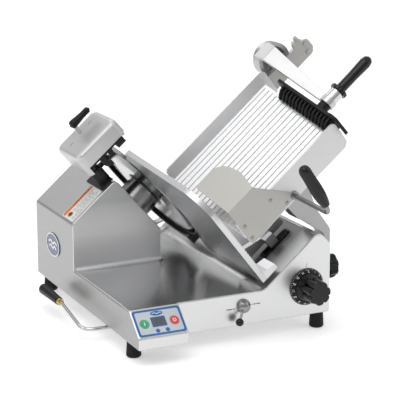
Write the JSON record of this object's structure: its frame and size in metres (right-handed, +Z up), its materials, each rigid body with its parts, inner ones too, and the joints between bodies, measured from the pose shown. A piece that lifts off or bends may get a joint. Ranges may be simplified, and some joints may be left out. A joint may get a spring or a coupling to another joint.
{
  "type": "deli meat slicer",
  "caption": "Manual gravity-feed deli slicer with a tilted ring-guarded knife, gauge plate, ribbed product table, pusher arm, clamp-on sharpener and control panel.",
  "frame": {"origin": "Middle of the machine's plan at the level of the rubber feet's soles.", "axes": "+X is the operator's right, +Y points away from the operator, the way the carriage travels, +Z is up."},
  "size_m": [0.637, 0.8806, 0.6888],
  "materials": {
    "cast_aluminium": "satin",
    "bright_aluminium": "brushed",
    "ground_steel": "brushed",
    "chrome_plate": "polished",
    "knife_steel": "ground",
    "black_plastic": "matte",
    "black_gloss": "gloss",
    "black_paint": "satin",
    "grey_paint": "satin",
    "feet_rubber": "matte",
    "belt_rubber": "matte",
    "brass": "satin",
    "overlay_film": "satin",
    "display_glass": "gloss",
    "green_plastic": "gloss",
    "red_plastic": "gloss",
    "blue_plastic": "gloss",
    "blue_enamel": "gloss",
    "label_film": "satin",
    "board": "matte",
    "abrasive": "matte"
  },
  "bodies": {
    "base": {"base_casting": "cast_aluminium", "bottom_cover": "ground_steel", "bottom_cover_screws": "chrome_plate", "rubber_feet": "feet_rubber", "cord_gland": "black_plastic", "panel_overlay": "overlay_film", "display_window": "display_glass", "control_board": "board", "hub_housing": "ground_steel", "knife_bearings": "chrome_plate", "drive_belt": "belt_rubber", "drive_motor": "grey_paint", "motor_bracket": "ground_steel", "ring_guard": "black_paint", "knife_cover": "bright_aluminium", "sharpener_cup": "black_paint", "gauge_rod": "chrome_plate", "slot_boot": "feet_rubber", "carriage_rod": "chrome_plate", "badge": "blue_enamel", "label_plate": "label_film"},
    "knife": {"knife": "knife_steel", "knife_spindle": "ground_steel", "knife_pulley": "grey_paint"},
    "motor": {"motor_pulley": "grey_paint"},
    "gauge": {"gauge_plate": "bright_aluminium", "gauge_arm": "cast_aluminium"},
    "index": {"index_knob": "black_plastic", "index_dial": "black_plastic", "index_cam": "ground_steel"},
    "carriage": {"carriage_block": "cast_aluminium"},
    "chute": {"chute_arm": "cast_aluminium", "product_table": "bright_aluminium", "thumb_guard": "ground_steel", "guard_screws": "chrome_plate", "table_handle_rod": "chrome_plate", "table_handle_grip": "black_gloss", "pusher_rod": "chrome_plate", "pusher_bracket": "ground_steel"},
    "release_knob": {"release_knob": "black_plastic"},
    "pusher_slider": {"pusher_bush": "brass"},
    "pusher": {"pusher_carrier": "bright_aluminium", "pusher_plate": "black_plastic", "pusher_collar": "chrome_plate", "pusher_handle": "black_gloss"},
    "sharpener": {"sharpener_yoke": "black_paint", "sharpener_housing": "cast_aluminium"},
    "sharpener_lever": {"sharpener_lever": "black_plastic", "sharpener_post": "chrome_plate"},
    "grinding_stone": {"grinding_stone": "abrasive"},
    "truing_stone": {"truing_stone": "abrasive"},
    "selector": {"selector_dome": "chrome_plate", "selector_ball": "black_gloss"},
    "lift_lever": {"lift_rod": "chrome_plate", "lift_ferrule": "brass", "lift_grip": "black_plastic"},
    "start_button": {"start_button": "green_plastic"},
    "stop_button": {"stop_button": "red_plastic"},
    "mode_button": {"mode_button": "blue_plastic"},
    "speed_button": {"speed_button": "blue_plastic"}
  },
  "joints": [
    {"name": "knife_spin", "type": "hinge", "parent": "base", "child": "knife", "pos_m": [-0.03128, 0.24025, 0.27837], "axis": [0.7547, 0, 0.6561], "continuous": true},
    {"name": "motor_spin", "type": "hinge", "parent": "base", "child": "motor", "pos_m": [-0.07539, 0.34925, 0.19498], "axis": [0.7547, 0, 0.6561], "continuous": true},
    {"name": "gauge_slide", "type": "slide", "parent": "base", "child": "gauge", "axis": [-0.7547, 0, -0.6561], "range_m": [0, 0.02]},
    {"name": "index_turn", "type": "hinge", "parent": "base", "child": "index", "pos_m": [0.1964, -0.21075, 0.111], "axis": [0, -1, 0], "range_deg": [0, 300]},
    {"name": "carriage_slide", "type": "slide", "parent": "base", "child": "carriage", "axis": [0, 1, 0], "range_m": [0, 0.32]},
    {"name": "chute_tilt", "type": "hinge", "parent": "carriage", "child": "chute", "pos_m": [0.279, -0.05575, 0.071], "axis": [0, 1, 0], "range_deg": [0, 25]},
    {"name": "release_turn", "type": "hinge", "parent": "chute", "child": "release_knob", "pos_m": [0.3, -0.10275, 0.128], "axis": [1, 0, 0], "range_deg": [0, 180]},
    {"name": "pusher_slide", "type": "slide", "parent": "chute", "child": "pusher_slider", "axis": [-0.7547, 0, -0.6561], "range_m": [0, 0.19]},
    {"name": "pusher_swing", "type": "hinge", "parent": "pusher_slider", "child": "pusher", "pos_m": [0.19322, -0.03475, 0.61], "axis": [-0.7547, 0, -0.6561], "range_deg": [0, 95]},
    {"name": "sharpener_lift", "type": "slide", "parent": "base", "child": "sharpener", "axis": [-0.6561, 0, 0.7547], "range_m": [0, 0.03]},
    {"name": "sharpener_lever_turn", "type": "hinge", "parent": "sharpener", "child": "sharpener_lever", "pos_m": [-0.20806, 0.25525, 0.44668], "axis": [-0.6561, 0, 0.7547], "range_deg": [0, 60]},
    {"name": "grinding_stone_spin", "type": "hinge", "parent": "sharpener", "child": "grinding_stone", "pos_m": [-0.14904, 0.21925, 0.39861], "axis": [-0.6561, 0, 0.7547], "continuous": true},
    {"name": "truing_stone_spin", "type": "hinge", "parent": "sharpener", "child": "truing_stone", "pos_m": [-0.12942, 0.24325, 0.41566], "axis": [-0.6561, 0, 0.7547], "continuous": true},
    {"name": "selector_turn", "type": "hinge", "parent": "base", "child": "selector", "pos_m": [0.0295, -0.18575, 0.0868], "axis": [0, 1, 0], "range_deg": [-35, 35]},
    {"name": "lift_lever_turn", "type": "hinge", "parent": "base", "child": "lift_lever", "pos_m": [-0.2, -0.03075, 0.03], "axis": [1, 0, 0], "range_deg": [0, 85]},
    {"name": "start_press", "type": "slide", "parent": "base", "child": "start_button", "axis": [0, 0.666, -0.7459], "range_m": [0, 0.0012], "stiffness_N_per_m": 400, "springref_m": -0.0005},
    {"name": "stop_press", "type": "slide", "parent": "base", "child": "stop_button", "axis": [0, 0.666, -0.7459], "range_m": [0, 0.0012], "stiffness_N_per_m": 400, "springref_m": -0.0005},
    {"name": "mode_press", "type": "slide", "parent": "base", "child": "mode_button", "axis": [0, 0.666, -0.7459], "range_m": [0, 0.0012], "stiffness_N_per_m": 400, "springref_m": -0.0005},
    {"name": "speed_press", "type": "slide", "parent": "base", "child": "speed_button", "axis": [0, 0.666, -0.7459], "range_m": [0, 0.0012], "stiffness_N_per_m": 400, "springref_m": -0.0005}
  ],
  "couplings": [
    {"joint": "motor_spin", "follows": "knife_spin", "ratio": 2.5},
    {"joint": "index_turn", "follows": "gauge_slide", "rad_per_m": 261.8}
  ]
}
